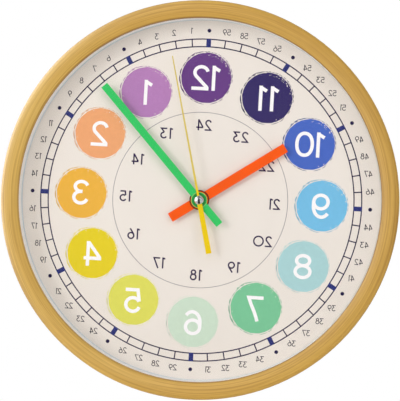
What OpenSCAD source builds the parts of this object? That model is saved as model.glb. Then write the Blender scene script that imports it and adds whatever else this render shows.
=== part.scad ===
// Teaching wall clock: a round wood-look wall clock whose dial is a mirror image,
// so its hands run anticlockwise. Millimetres, +Z up, front facing -Y.
// The origin is on the axis of the hands, in the plane of the wall.

/* [Frame] */
// Outer diameter of the frame
clock_d = 300; // [240:1:400]
// Width of the frame's band, seen from the front
band_w = 13.1; // [13:0.1:20]
// Radius of the band's shallow crown
crown_r = 12; // [12:0.5:30]
// Radius of the band's outer corner
outer_corner_r = 4; // [3:0.5:4.5]
// Radius of the band's inner corner
inner_corner_r = 2; // [1:0.1:2.5]
// How far the crest lies outside the middle of the band
crest_shift = 0.6; // [0:0.1:1]
// Height of the lip's straight inner wall
lip_t = 3; // [2:0.1:5]
// Width of the lip that holds the lens
lip_w = 3.5; // [3:0.1:5]
// Wall of the skirt behind the back plate
skirt_t = 3.8; // [3:0.1:5]
// Bevel on the rear outer edge
rear_bevel = 1.2; // [0.5:0.1:2]

/* [Lens and dial] */
// Thickness of the glass
glass_t = 2.5; // [2:0.1:3.2]
// Bevel on the glass edge
glass_bevel = 0.6; // [0.3:0.1:0.9]
// Height of the inner rim, from the dial to the glass
rim_h = 12; // [11.5:0.1:20]
// Wall of the inner rim at its front edge
rim_t = 2.6; // [1.5:0.1:3]
// Thickness of the dial
dial_t = 0.8; // [0.5:0.1:1.5]
// Radial play of the glass, the rim and the dial in the frame
drop_in_fit = 0.4; // [0.2:0.05:0.8]

/* [Back plate] */
// Thickness of the back plate
back_t = 2.4; // [2:0.1:3]
// Radial play of the back plate in the skirt
back_fit = 0.3; // [0.2:0.05:0.6]
// Height of the ribs on the back plate
rib_h = 3; // [2:0.5:8]
// Thickness of the ribs
rib_t = 1.6; // [1.2:0.1:2.4]
// Number of radial ribs
rib_count = 16; // [8:4:24]
// Number of screws that hold the back plate
back_screw_count = 6; // [4:1:8]
// Space between the wall and the movement
wall_gap = 3; // [2.8:0.1:8]

/* [Hanger] */
// Height of the keyhole's round entry above the centre
hang_z = 100; // [60:1:102]
// Radius of the keyhole's round entry
hang_r = 4.5; // [4:0.1:5.5]
// Width of the keyhole's slot
hang_slot_w = 4.4; // [3.5:0.1:5]
// Rise of the slot above the entry
hang_rise = 9; // [7:0.5:12]
// Thickness of the steel hanger plate
hanger_t = 1.5; // [1:0.1:2]
// Gap between the wall and the hanger plate
hanger_gap = 2.2; // [2:0.1:2.6]

/* [Hands] */
// Tip of the hour hand from the axis
hour_len = 76.3; // [40:0.1:90]
// Tail of the hour hand from the axis
hour_tail = 25.9; // [12:0.1:40]
// Width of the hour hand
hour_w = 7.2; // [3:0.1:8]
// Tip of the minute hand from the axis
minute_len = 113.6; // [60:0.1:114]
// Tail of the minute hand from the axis
minute_tail = 24.1; // [12:0.1:40]
// Width of the minute hand
minute_w = 5.7; // [3:0.1:7]
// Tip of the second hand from the axis
second_len = 111; // [60:0.1:114]
// Tail of the second hand from the axis
second_tail = 41.2; // [20:0.1:60]
// Thickness of the stamped hands
hand_t = 0.5; // [0.3:0.05:0.6]
// Radius of the hour hand's hub disc
hour_hub_r = 7.5; // [6:0.1:9]
// Radius of the minute hand's hub disc
minute_hub_r = 6.1; // [4:0.1:8]
// Radius of the domed cap
cap_r = 3.5; // [2.5:0.1:4]
// Degrees that the hour hand has run from twelve
hour_turn = 304.4; // [0:0.1:360]
// Degrees that the minute hand has run from twelve
minute_turn = 42.9; // [0:0.1:360]
// Degrees that the second hand has run from twelve
second_turn = 13.7; // [0:0.1:360]
// Which way the hands run: 1 is anticlockwise, as on a mirrored dial
run_sense = 1; // [1, -1]

/* [Movement] */
// Width of the movement case, and twice its height above the axis
case_w = 56; // [56:0.5:72]
// Wall of the movement case
case_wall = 1.2; // [1:0.1:1.3]
// Diameter of the battery
battery_d = 14.5; // [14:0.1:18]
// Length of the battery, with its raised terminal
battery_l = 50.5; // [48:0.1:51]
// Play between the battery and its bay
battery_fit = 0.3; // [0.2:0.05:0.6]
// Outer radius of the threaded bushing
bushing_r = 4; // [3.9:0.1:5]
// Radius of the hour wheel's pipe
hour_pipe_r = 2.5; // [2.3:0.1:2.8]
// Radius of the minute arbor
minute_arbor_r = 1.75; // [1.6:0.05:1.9]
// Radius of the second hand's arbor
second_arbor_r = 0.55; // [0.4:0.05:0.6]
// Radius of the small wheels' arbors
arbor_r = 0.5; // [0.4:0.05:0.6]
// Radial play of everything that turns
running_fit = 0.07; // [0.04:0.01:0.1]

/* [Gear teeth] */
// Pressure angle of the teeth
pressure = 20; // [18:1:25]
// Share of each tooth taken off as backlash
backlash = 0.2; // [0.14:0.01:0.26]
// Module of the rotor's mesh
rotor_module = 0.2; // [0.18:0.01:0.22]
// Module of the second wheel's mesh
second_module = 0.28; // [0.27:0.005:0.29]
// Module of the third wheel's mesh
third_module = 0.28; // [0.27:0.005:0.29]
// Module of the mesh that drives the minute wheel
minute_module = 0.4; // [0.38:0.01:0.42]

/* [Hidden] */
$fn = 96;
eps = 0.01;

// Radii of the frame
outer_r = clock_d / 2;
lip_r = outer_r - band_w;
bore_r = lip_r + lip_w;
skirt_r = outer_r - skirt_t;
crest_r = outer_r - band_w / 2 + crest_shift;

// Levels, measured forward from the wall
cover_t = case_wall;
cover_z = wall_gap;
cover_top = cover_z + cover_t;
case_front = cover_z + battery_d + 2 * battery_fit + case_wall;
case_ceiling = case_front - case_wall;
gasket_t = 0.8;
back_z = case_front + gasket_t;
ledge_z = back_z + back_t;
dial_z = ledge_z + dial_t;
glass_z = dial_z + rim_h;
lip_z = glass_z + glass_t;
inner_corner_z = lip_z + lip_t;
crown_z = inner_corner_z
  - sqrt(pow(crown_r - inner_corner_r, 2) - pow(crest_r - lip_r - inner_corner_r, 2));
outer_corner_z = crown_z
  + sqrt(pow(crown_r - outer_corner_r, 2) - pow(outer_r - outer_corner_r - crest_r, 2));

// Small screws
screw_core_r = 1.2;
screw_hole_r = 1.6;
screw_head_r = 2.5;
screw_head_h = 1.5;
screw_fit = 0.02;
back_screw_l = 9;
back_screw_r = (bore_r + skirt_r) / 2;
hanger_screw_l = 7;

// Ribs of the back plate, and the frame of ribs that the movement nests in
rim_rib_r = back_screw_r - screw_head_r - 0.6;
nest_fit = 0.4;

// Hanger plate and its posts
hanger_z = hanger_gap;
hanger_w = 50;
hanger_margin = 4.5;
hanger_below = hang_r + hanger_margin;
hanger_above = hang_rise + hang_slot_w / 2 + hanger_margin;
hanger_post_x = 18;
hanger_post_r = 3.6;
hanger_post_z = hang_z + hang_rise / 2;

// Bushing, washer and nut
bushing_fit = 0.25;
washer_t = 0.6;
washer_r = bushing_r + 3;
washer_fit = 0.1;
gasket_r = bushing_r + 5;
nut_t = 2.3;
nut_flats = 2 * bushing_r + 3.5;
nut_fit = 0.05;
bushing_top = dial_z + washer_t + nut_t + 0.5;

// Levels of the hands, forward of the bushing
hand_gap = 0.7;
hour_z = bushing_top + hand_gap;
pipe_step = 0.9;
minute_z = hour_z + hand_t + pipe_step + hand_gap;
arbor_step = 0.6;
second_z = minute_z + hand_t + arbor_step + hand_gap;
second_t = 0.4;
push_fit = 0.02;
cap_h = 1.9;
bush_r = 1;

// Battery bay, under the shelf below the wheels
case_in = case_w / 2 - case_wall;
case_corner_r = 3;
case_top = case_w / 2;
wheel_room = 10.5;
shelf_top = -wheel_room;
shelf_bottom = shelf_top - case_wall;
battery_r = battery_d / 2;
battery_y = shelf_bottom - battery_fit - battery_r;
case_bottom = battery_y - battery_r - battery_fit - case_wall;
battery_z = cover_z + battery_fit + battery_r;
terminal_r = 2.75;
terminal_h = 1;

// Numbers of teeth
rotor_teeth = 12;
intermediate_teeth = 60;
intermediate_pinion_teeth = 10;
second_teeth = 60;
second_pinion_teeth = 8;
third_teeth = 60;
third_pinion_teeth = 8;
centre_teeth = 64;
cannon_teeth = 12;
minute_teeth = 36;
minute_pinion_teeth = 10;
hour_teeth = 40;
knob_teeth = 12;

// Places of the arbors round the axis of the hands
third_d = third_module * (second_pinion_teeth + third_teeth) / 2;
centre_module = 2 * third_d / (third_pinion_teeth + centre_teeth);
third_at = [-third_d, 0];
intermediate_a = 60;
intermediate_d = second_module * (intermediate_pinion_teeth + second_teeth) / 2;
intermediate_at = intermediate_d * [cos(intermediate_a), sin(intermediate_a)];
rotor_a = 40;
rotor_d = rotor_module * (rotor_teeth + intermediate_teeth) / 2;
rotor_at = intermediate_at + rotor_d * [cos(rotor_a), sin(rotor_a)];
minute_d = minute_module * (cannon_teeth + minute_teeth) / 2;
minute_at = [minute_d, 0];
hour_module = 2 * minute_d / (minute_pinion_teeth + hour_teeth);
knob_d = minute_module * (minute_teeth + knob_teeth) / 2;
knob_at = minute_at + [knob_d, 0];

// Levels in the movement, measured forward from the inside of the rear cover
wheel_t = 0.8;
second_wheel_z = cover_top + 3.5;
third_wheel_z = second_wheel_z + wheel_t + 0.5;
centre_wheel_z = third_wheel_z + wheel_t + 1;
plate_t = 0.8;
plate_z = centre_wheel_z + wheel_t + 0.4;
plate_top = plate_z + plate_t;
minute_wheel_z = plate_top + 0.3;
hour_wheel_z = minute_wheel_z + wheel_t + 1.1;
stator_t = 1;
stator_z = plate_z - stator_t;
core_z = stator_z - stator_t;
boss_r = 1.3;
boss_z = cover_top + 2.8;
pivot_r = 0.3;
pivot_l = 0.7;

// Rotor and stator
magnet_r = 3;
magnet_z = third_wheel_z + wheel_t + 0.4;
magnet_h = 3;
magnet_gap = 0.5;
rotor_cap_r = magnet_r + 1.6;
rotor_cap_z = magnet_z + magnet_h + 0.3;
stator_w = 7;
limb_w = 4.4;
stator_left = rotor_at.x - 15.5;
stator_right = rotor_at.x + 13.5;
core_w = 3.4;
stator_post_y = 18.4;
core_y = stator_post_y + 3.8;
coil_r = 3.8;
bobbin_r = 4.1;
bobbin_tube_r = 2.3;
flange_t = 0.8;
limb_gap = 0.6;
limb_lap = 2;

// Posts moulded on the front case
post_r = 1.5;
peg_r = 0.7;
peg_fit = 0.05;
plate_posts = [[-13.5, 6.5], [-13.5, -7], [knob_at.x + 1, 9.4]];
plate_margin = 2.5;
plate_left = plate_posts[0].x - plate_margin;
plate_right = plate_posts[2].x + plate_margin;
plate_bottom = shelf_top + 0.5;
plate_upper = plate_posts[2].y + 2;
stator_posts = [for (x = [stator_left + limb_w / 2, stator_right - limb_w / 2]) [x, stator_post_y]];
minute_post_r = 0.8;

// Snap hooks of the rear cover
hook_w = 5;
hook_t = 1;
hook_l = 4.4;
hook_nose = 0.7;
hook_fit = 0.15;
hook_y = 14;

// Circuit board, clear of the rear cover's hooks
board_w = 7;
board_left = -case_in + hook_t + 0.5;
board_bottom = shelf_top + 0.6;
board_top = 17;
board_t = 0.8;
board_z = cover_top + 2.8;

// Setting knob
knob_r = 5;
knob_h = 1.6;
knob_gap = 0.3;
knob_shaft_r = 1.5;

// Turns the flat layout of the dial, seen from the front, to face -Y
module facing() {
  rotate([90, 0, 0]) children();
}

// Points along an arc, from angle a to angle b
function arc(centre, r, a, b, steps = 10) =
  [for (i = [0:steps]) let (t = a + (b - a) * i / steps) centre + r * [cos(t), sin(t)]];

// A flat ring or disc between two levels
module ring(outer, inner, low, high) {
  translate([0, 0, low]) difference() {
    cylinder(r = outer, h = high - low);
    translate([0, 0, -1]) cylinder(r = inner, h = high - low + 2);
  }
}

// A round bar between two levels, at a place on the dial
module bar(place, r, low, high) {
  translate([place.x, place.y, low]) cylinder(r = r, h = high - low);
}

// A flat square with round corners
module rounded_square(w, h, r) {
  square([w - 2 * r, h], center = true);
  square([w, h - 2 * r], center = true);
  for (x = [-1, 1], y = [-1, 1]) translate([x * (w / 2 - r), y * (h / 2 - r)]) circle(r = r, $fn = 48);
}

// Outline of the movement case, grown by a margin
module case_outline(grown, r) {
  translate([0, (case_top + case_bottom) / 2])
    rounded_square(case_w + 2 * grown, case_top - case_bottom + 2 * grown, r);
}

// Angle that an involute has turned through where it reaches radius r
function involute_turn(base_r, r) =
  let (t = sqrt(max(r * r / (base_r * base_r) - 1, 0))) t * 180 / PI - atan(t);

// Half of the angle that a tooth fills at radius r
function half_tooth(teeth, m, r) =
  let (pitch_r = teeth * m / 2, base_r = pitch_r * cos(pressure))
  90 * (1 - backlash) / teeth + involute_turn(base_r, pitch_r) - involute_turn(base_r, r);

// Outline of a gear, with a tooth on +X. Small pinions are cut narrower at the root.
module gear_outline(teeth, m, addendum = 1) {
  pitch_r = teeth * m / 2;
  root_r = pitch_r - 1.25 * m;
  tip_r = pitch_r + addendum * m;
  base_r = max(pitch_r * cos(pressure), root_r + 0.1 * m);
  waist = teeth < 20 ? 0.8 : 1;
  radii = [root_r, base_r, (base_r + tip_r) / 2, tip_r];
  halves = [for (r = radii) half_tooth(teeth, m, r) * (r == root_r ? waist : 1)];
  polygon([
    for (i = [0:teeth - 1], side = [-1, 1], k = [0:3])
      let (j = side < 0 ? k : 3 - k, a = 360 * i / teeth + side * halves[j])
      radii[j] * [cos(a), sin(a)]
  ]);
}

// A toothed wheel between two levels, with one tooth at angle a
module toothed(teeth, m, a, low, high, addendum = 1) {
  translate([0, 0, low]) rotate([0, 0, a]) linear_extrude(high - low) gear_outline(teeth, m, addendum);
}

// The angle of a tooth of the second gear that meshes with the first gear,
// when the line from the first to the second points along angle line
function meshed(first_a, first_teeth, second_teeth, line) =
  line + 180 - (180 - (line - first_a) * first_teeth) / second_teeth;

second_a = run_sense * second_turn;
third_a = meshed(second_a, second_pinion_teeth, third_teeth, 180);
centre_a = meshed(third_a, third_pinion_teeth, centre_teeth, 0);
intermediate_gear_a = meshed(second_a, second_teeth, intermediate_pinion_teeth, intermediate_a);
rotor_gear_a = meshed(intermediate_gear_a, intermediate_teeth, rotor_teeth, rotor_a);
minute_arbor_a = run_sense * minute_turn;
minute_wheel_a = meshed(minute_arbor_a, cannon_teeth, minute_teeth, 0);
hour_wheel_a = meshed(minute_wheel_a, minute_pinion_teeth, hour_teeth, 180);
knob_a = meshed(minute_wheel_a, minute_teeth, knob_teeth, 0);

// Addendum of the wheels that drive or are driven by small pinions
wheel_addendum = 0.8;

// A wheel with a thin web between its rim and its hub
module wheel(teeth, m, a, low, hub_r) {
  rim_in = teeth * m / 2 - 2.4 * m;
  difference() {
    toothed(teeth, m, a, low, low + wheel_t, wheel_addendum);
    translate([0, 0, low + wheel_t - 0.3]) difference() {
      cylinder(r = rim_in, h = 1);
      translate([0, 0, -1]) cylinder(r = hub_r, h = 3);
    }
  }
}

// A pan head screw whose head lies under level z and whose shank points forward
module pan_screw(length) {
  difference() {
    union() {
      cylinder(r = screw_core_r, h = length);
      translate([0, 0, -screw_head_h / 2]) cylinder(r = screw_head_r, h = screw_head_h / 2);
      translate([0, 0, -screw_head_h])
        cylinder(r1 = screw_head_r - 0.8, r2 = screw_head_r, h = screw_head_h / 2);
    }
    for (a = [0, 90]) rotate([0, 0, a])
      translate([-1.3, -0.25, -screw_head_h - 1]) cube([2.6, 0.5, 1.9]);
  }
}

// Places of the back plate's screws
module at_back_screws() {
  for (i = [0:back_screw_count - 1])
    rotate([0, 0, 180 / back_screw_count + i * 360 / back_screw_count])
      translate([0, back_screw_r, 0]) children();
}

module frame() {
  outer_c = [outer_r - outer_corner_r, outer_corner_z];
  inner_c = [lip_r + inner_corner_r, inner_corner_z];
  crown_c = [crest_r, crown_z];
  outer_a = atan2(outer_corner_z - crown_z, outer_c.x - crest_r);
  inner_a = atan2(inner_corner_z - crown_z, inner_c.x - crest_r);
  color("burlywood") facing() difference() {
    rotate_extrude($fn = 240) polygon(concat(
      [[skirt_r, 0], [outer_r - rear_bevel, 0], [outer_r, rear_bevel]],
      arc(outer_c, outer_corner_r, 0, outer_a, 6),
      arc(crown_c, crown_r, outer_a, inner_a, 10),
      arc(inner_c, inner_corner_r, inner_a, 180, 6),
      [[lip_r, lip_z], [bore_r, lip_z], [bore_r, ledge_z], [skirt_r, ledge_z]]
    ));
    at_back_screws() translate([0, 0, ledge_z - 1])
      cylinder(r = screw_core_r + screw_fit, h = back_screw_l + 1, $fn = 32);
  }
}

module lens() {
  r = bore_r - drop_in_fit;
  color("lightcyan") facing() rotate_extrude($fn = 240) polygon([
    [0, glass_z], [r - glass_bevel, glass_z], [r, glass_z + glass_bevel],
    [r, lip_z - glass_bevel], [r - glass_bevel, lip_z], [0, lip_z]
  ]);
}

module inner_rim() {
  r = bore_r - drop_in_fit;
  foot = 0.5;
  color("lightsteelblue") facing() rotate_extrude($fn = 240) polygon([
    [r - rim_t - foot, dial_z], [r, dial_z], [r, glass_z], [r - rim_t, glass_z],
    [r - rim_t, dial_z + 1.2], [r - rim_t - foot, dial_z + 0.7]
  ]);
}

module dial() {
  color("linen") facing() ring(bore_r - drop_in_fit, bushing_r + bushing_fit, ledge_z, dial_z);
}

// Straight ribs of the back plate run from the movement's frame to the rim rib
module radial_ribs() {
  for (i = [0:rib_count - 1]) rotate([0, 0, i * 360 / rib_count])
    translate([0, -rib_t / 2, back_z - rib_h]) cube([rim_rib_r - 0.5, rib_t, rib_h + eps]);
}

module back_plate() {
  color("whitesmoke") facing() difference() {
    union() {
      ring(skirt_r - back_fit, 1, back_z, ledge_z);
      difference() {
        union() {
          ring(rim_rib_r, rim_rib_r - rib_t, back_z - rib_h, back_z + eps);
          radial_ribs();
          translate([0, 0, back_z - rib_h]) linear_extrude(rib_h + eps)
            case_outline(nest_fit + rib_t, case_corner_r);
        }
        translate([0, 0, back_z - rib_h - 1]) linear_extrude(rib_h + 1)
          case_outline(nest_fit, case_corner_r);
      }
      for (x = [-1, 1])
        bar([x * hanger_post_x, hanger_post_z], hanger_post_r, hanger_z + hanger_t, back_z + eps);
    }
    translate([0, 0, back_z - 1]) cylinder(r = bushing_r + bushing_fit, h = back_t + 2);
    at_back_screws() translate([0, 0, back_z - 1]) cylinder(r = screw_hole_r, h = back_t + 2, $fn = 32);
    for (x = [-1, 1])
      bar([x * hanger_post_x, hanger_post_z], screw_core_r + screw_fit, hanger_z,
        hanger_z + hanger_t + hanger_screw_l);
    // the ribs leave the screw's head its way up the keyhole
    translate([-hang_r - 2, hang_z - hang_r - 2, 0])
      cube([2 * hang_r + 4, hang_rise + 2 * hang_r + 4, back_z]);
  }
}

module back_screws() {
  color("silver") facing() at_back_screws() translate([0, 0, back_z]) pan_screw(back_t + back_screw_l - 1);
}

module hanger() {
  height = hanger_below + hanger_above;
  color("gainsboro") facing() difference() {
    translate([0, hang_z + (hanger_above - hanger_below) / 2, hanger_z])
      linear_extrude(hanger_t) rounded_square(hanger_w, height, 4);
    bar([0, hang_z], hang_r, 0, hanger_z + hanger_t + 1);
    bar([0, hang_z + hang_rise], hang_slot_w / 2, 0, hanger_z + hanger_t + 1);
    translate([-hang_slot_w / 2, hang_z, 0]) cube([hang_slot_w, hang_rise, hanger_z + hanger_t + 1]);
    for (x = [-1, 1]) bar([x * hanger_post_x, hanger_post_z], screw_hole_r, 0, hanger_z + hanger_t + 1);
  }
}

module hanger_screws() {
  color("silver") facing() for (x = [-1, 1])
    translate([x * hanger_post_x, hanger_post_z, hanger_z]) pan_screw(hanger_screw_l);
}

module gasket() {
  color("dimgray") facing() ring(gasket_r, bushing_r + washer_fit, case_front, back_z);
}

module dial_washer() {
  color("goldenrod") facing() ring(washer_r, bushing_r + washer_fit, dial_z, dial_z + washer_t);
}

module bushing_nut() {
  low = dial_z + washer_t;
  color("gold") facing() difference() {
    translate([0, 0, low]) cylinder(r = nut_flats / 2 / cos(30), h = nut_t, $fn = 6);
    bar([0, 0], bushing_r + nut_fit, low - 1, low + nut_t + 1);
  }
}

// Places of the four snap hooks, each turned so that +X points out of the case
module at_hooks() {
  for (side = [0, 180], y = [-4.5, hook_y])
    translate([0, y, 0]) rotate([0, 0, side]) children();
}

module front_case() {
  nose_z = cover_top + hook_l;
  color("dimgray") facing() difference() {
    union() {
      difference() {
        translate([0, 0, cover_top]) linear_extrude(case_front - cover_top)
          case_outline(0, case_corner_r);
        translate([0, 0, cover_top - 1]) linear_extrude(case_ceiling - cover_top + 1)
          case_outline(-case_wall, case_corner_r - case_wall);
      }
      // shelf between the battery and the wheels
      translate([-case_in - eps, shelf_bottom, cover_top])
        cube([2 * case_in + 2 * eps, case_wall, case_ceiling - cover_top + eps]);
      bar([0, 0], bushing_r, case_front - eps, bushing_top);
      for (p = plate_posts) {
        bar(p, post_r, plate_top, case_ceiling + eps);
        bar(p, peg_r, plate_z, case_ceiling);
      }
      for (p = stator_posts) {
        bar(p, post_r, plate_z, case_ceiling + eps);
        bar(p, peg_r, core_z, case_ceiling);
      }
      bar(minute_at, post_r, hour_wheel_z + wheel_t + 0.5, case_ceiling + eps);
      bar(minute_at, minute_post_r, minute_wheel_z - 0.2, case_ceiling);
      bar(knob_at, post_r, minute_wheel_z + 2, case_ceiling + eps);
    }
    bar([0, 0], hour_pipe_r + running_fit, case_ceiling - 1, bushing_top + 1);
    bar(knob_at, peg_r + running_fit, minute_wheel_z, case_ceiling - 0.5);
    at_hooks() translate([case_in - 1, -hook_w / 2 - hook_fit, nose_z - 1.2 - hook_fit])
      cube([case_wall + 2, hook_w + 2 * hook_fit, 1.2 + 2 * hook_fit]);
  }
}

module middle_plate() {
  color("ivory") facing() difference() {
    union() {
      translate([plate_left, plate_bottom, plate_z])
        cube([plate_right - plate_left, plate_upper - plate_bottom, plate_t]);
      bar(rotor_at, rotor_cap_r, plate_z, rotor_cap_z + plate_t);
    }
    bar([0, 0], minute_arbor_r + running_fit, plate_z - 1, plate_top + 1);
    bar(third_at, pivot_r + running_fit, plate_z - 1, plate_top + 1);
    bar(intermediate_at, pivot_r + running_fit, plate_z - 1, plate_top + 1);
    bar(rotor_at, magnet_r + magnet_gap, plate_z - 1, rotor_cap_z);
    bar(rotor_at, pivot_r + running_fit, rotor_cap_z - 1, rotor_cap_z + plate_t + 1);
    for (p = plate_posts) bar(p, peg_r + peg_fit, plate_z - 1, plate_top + 1);
    bar(knob_at, knob_shaft_r + 0.3, plate_z - 1, plate_top + 1);
    translate([knob_at.x, -knob_shaft_r - 0.3, plate_z - 1])
      cube([10, 2 * knob_shaft_r + 0.6, plate_t + 2]);
  }
}

module rear_cover() {
  bay_x = case_in - 0.6;
  color("dimgray") facing() difference() {
    union() {
      translate([0, 0, cover_z]) linear_extrude(cover_t) case_outline(0, case_corner_r);
      for (p = [[0, 0], third_at, intermediate_at, rotor_at]) bar(p, boss_r, cover_top - eps, boss_z);
      bar(knob_at, knob_shaft_r + 1.2, cover_top - eps, boss_z);
      for (y = [board_bottom + 3, board_top - 3])
        bar([board_left + board_w / 2, y], boss_r, cover_top - eps, board_z);
      at_hooks() {
        translate([case_in - hook_t - hook_fit, -hook_w / 2, cover_top - eps])
          cube([hook_t, hook_w, hook_l + eps]);
        translate([case_in - hook_fit - eps, -hook_w / 2, cover_top + hook_l - 1.2])
          cube([hook_nose, hook_w, 1.2]);
      }
    }
    translate([-bay_x, battery_y - battery_r - battery_fit + 0.4, cover_z - 1])
      cube([2 * bay_x, battery_d + 2 * battery_fit - 0.4, cover_t + 2]);
    for (p = [[0, 0], third_at, intermediate_at, rotor_at])
      bar(p, pivot_r + running_fit, boss_z - pivot_l - 0.4, boss_z + 1);
    bar(knob_at, knob_shaft_r + running_fit, cover_z - 1, boss_z + 1);
  }
}

module circuit_board() {
  color("darkgreen") facing() difference() {
    translate([board_left, board_bottom, board_z]) cube([board_w, board_top - board_bottom, board_t]);
    bar([board_left + 1.5, board_top - 1.5], 0.5, board_z - 1, board_z + 2);
  }
}

module clock_chip() {
  chip_r = 2.4;
  color("black") facing() translate([board_left + board_w / 2, board_bottom + 8, board_z + board_t])
    intersection() {
      translate([0, 0, -2.2]) sphere(r = 3.3);
      cylinder(r = chip_r, h = 2);
    }
}

module crystal() {
  color("silver") facing() translate([board_left + board_w / 2, board_bottom + 14, board_z + board_t + 1])
    rotate([-90, 0, 0]) cylinder(r = 1, h = 6);
}

bobbin_left = stator_left + limb_w + limb_gap;
bobbin_right = stator_right - limb_w - limb_gap;

// A round bar along X, on the line of the coil's core
module coil_bar(r, left, right) {
  translate([left, core_y, core_z + stator_t / 2]) rotate([0, 90, 0]) cylinder(r = r, h = right - left);
}

module coil_bobbin() {
  color("white") facing() difference() {
    union() {
      coil_bar(bobbin_tube_r, bobbin_left, bobbin_right);
      coil_bar(bobbin_r, bobbin_left, bobbin_left + flange_t);
      coil_bar(bobbin_r, bobbin_right - flange_t, bobbin_right);
    }
    translate([bobbin_left - 1, core_y - core_w / 2 - 0.05, core_z - 0.05])
      cube([bobbin_right - bobbin_left + 2, core_w + 0.1, stator_t + 0.1]);
  }
}

module coil_winding() {
  color("chocolate") facing() difference() {
    coil_bar(coil_r, bobbin_left + flange_t, bobbin_right - flange_t);
    coil_bar(bobbin_tube_r, bobbin_left, bobbin_right);
  }
}

module coil_core() {
  color("slategray") facing() difference() {
    union() {
      translate([stator_left, core_y - core_w / 2, core_z])
        cube([stator_right - stator_left, core_w, stator_t]);
      for (p = stator_posts)
        translate([p.x - limb_w / 2, p.y - limb_lap, core_z])
          cube([limb_w, core_y - p.y + limb_lap, stator_t]);
    }
    for (p = stator_posts) bar(p, peg_r + peg_fit, core_z - 1, core_z + 2);
  }
}

module stator() {
  color("lightslategray") facing() difference() {
    union() {
      translate([stator_left, rotor_at.y - stator_w / 2, stator_z])
        cube([stator_right - stator_left, stator_w, stator_t]);
      bar(rotor_at, magnet_r + magnet_gap + 1.2, stator_z, stator_z + stator_t);
      for (p = stator_posts)
        translate([p.x - limb_w / 2, rotor_at.y, stator_z])
          cube([limb_w, p.y - rotor_at.y + limb_lap, stator_t]);
    }
    bar(rotor_at, magnet_r + magnet_gap, stator_z - 1, stator_z + 2);
    for (p = stator_posts) bar(p, peg_r + peg_fit, stator_z - 1, stator_z + 2);
    // narrow necks that saturate, above and below the rotor
    for (s = [-1, 1]) translate([rotor_at.x - 0.6, rotor_at.y + s * (stator_w / 2 + 1.2) - 0.5, stator_z - 1])
      cube([1.2, 1, 3]);
  }
}

battery_left = -case_in + 2.4;
battery_right = battery_left + battery_l;
contact_t = 0.4;

module positive_contact() {
  color("khaki") facing() {
    translate([battery_right, battery_y - 4, battery_z - 4]) cube([contact_t, 8, 8]);
    translate([battery_right, battery_y - 4, battery_z + 4 - eps])
      cube([contact_t, 8 + battery_r - 4, 2.4]);
    translate([battery_right - 5, shelf_bottom - contact_t - 0.1, battery_z + 4])
      cube([5 + contact_t, contact_t, 2.4]);
  }
}

// A leaf with its middle bent out to press on the battery
module negative_contact() {
  back = -case_in + 0.1;
  touch = battery_left - back;
  color("khaki") facing() translate([back, battery_y, battery_z - 3]) linear_extrude(6) polygon([
    [0, -6], [contact_t, -6], [touch, -1.4], [touch, 1.4], [contact_t, 6], [0, 6],
    [0, 5.6], [touch - contact_t, 1.2], [touch - contact_t, -1.2], [0, -5.6]
  ]);
}

module battery() {
  can_l = battery_l - terminal_h;
  color("darkorange") facing() translate([battery_left, battery_y, battery_z]) rotate([0, 90, 0])
    rotate_extrude() polygon([
      [0, 0], [battery_r - 0.5, 0], [battery_r, 0.5], [battery_r, can_l - 0.6],
      [battery_r - 0.6, can_l], [terminal_r, can_l], [terminal_r, battery_l - 0.2],
      [terminal_r - 0.2, battery_l], [0, battery_l]
    ]);
}

module rotor_magnet() {
  color("darkslategray") facing() translate([rotor_at.x, rotor_at.y, 0])
    ring(magnet_r, 1, magnet_z, magnet_z + magnet_h);
}

module rotor_pinion() {
  color("white") facing() translate([rotor_at.x, rotor_at.y, 0]) {
    bar([0, 0], pivot_r, boss_z - pivot_l, rotor_cap_z + plate_t);
    bar([0, 0], arbor_r, boss_z + 0.2, rotor_cap_z - 0.2);
    toothed(rotor_teeth, rotor_module, rotor_gear_a, third_wheel_z - 0.2, magnet_z);
    bar([0, 0], 1, magnet_z - eps, magnet_z + magnet_h);
  }
}

module intermediate_wheel() {
  color("white") facing() translate([intermediate_at.x, intermediate_at.y, 0]) {
    bar([0, 0], pivot_r, boss_z - pivot_l, plate_top);
    bar([0, 0], arbor_r, boss_z + 0.2, plate_z - 0.2);
    toothed(intermediate_pinion_teeth, second_module, intermediate_gear_a,
      second_wheel_z - 0.3, third_wheel_z + eps);
    wheel(intermediate_teeth, rotor_module, intermediate_gear_a, third_wheel_z, 1.8);
  }
}

module second_wheel() {
  color("white") facing() difference() {
    union() {
      wheel(second_teeth, second_module, second_a, second_wheel_z, 1.8);
      toothed(second_pinion_teeth, third_module, second_a,
        second_wheel_z + wheel_t - 0.4, third_wheel_z + wheel_t + 0.3);
    }
    bar([0, 0], second_arbor_r + push_fit, second_wheel_z - 1, third_wheel_z + wheel_t + 1);
  }
}

module second_arbor() {
  color("silver") facing() {
    bar([0, 0], pivot_r, boss_z - pivot_l, second_z);
    bar([0, 0], second_arbor_r, boss_z + 0.2, second_z + second_t + 0.6);
  }
}

module third_wheel() {
  color("white") facing() translate([third_at.x, third_at.y, 0]) {
    bar([0, 0], pivot_r, boss_z - pivot_l, plate_top);
    bar([0, 0], arbor_r, boss_z + 0.2, plate_z - 0.2);
    wheel(third_teeth, third_module, third_a, third_wheel_z, 1.8);
    toothed(third_pinion_teeth, centre_module, third_a,
      third_wheel_z + wheel_t - 0.4, centre_wheel_z + wheel_t + 0.2);
  }
}

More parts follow.
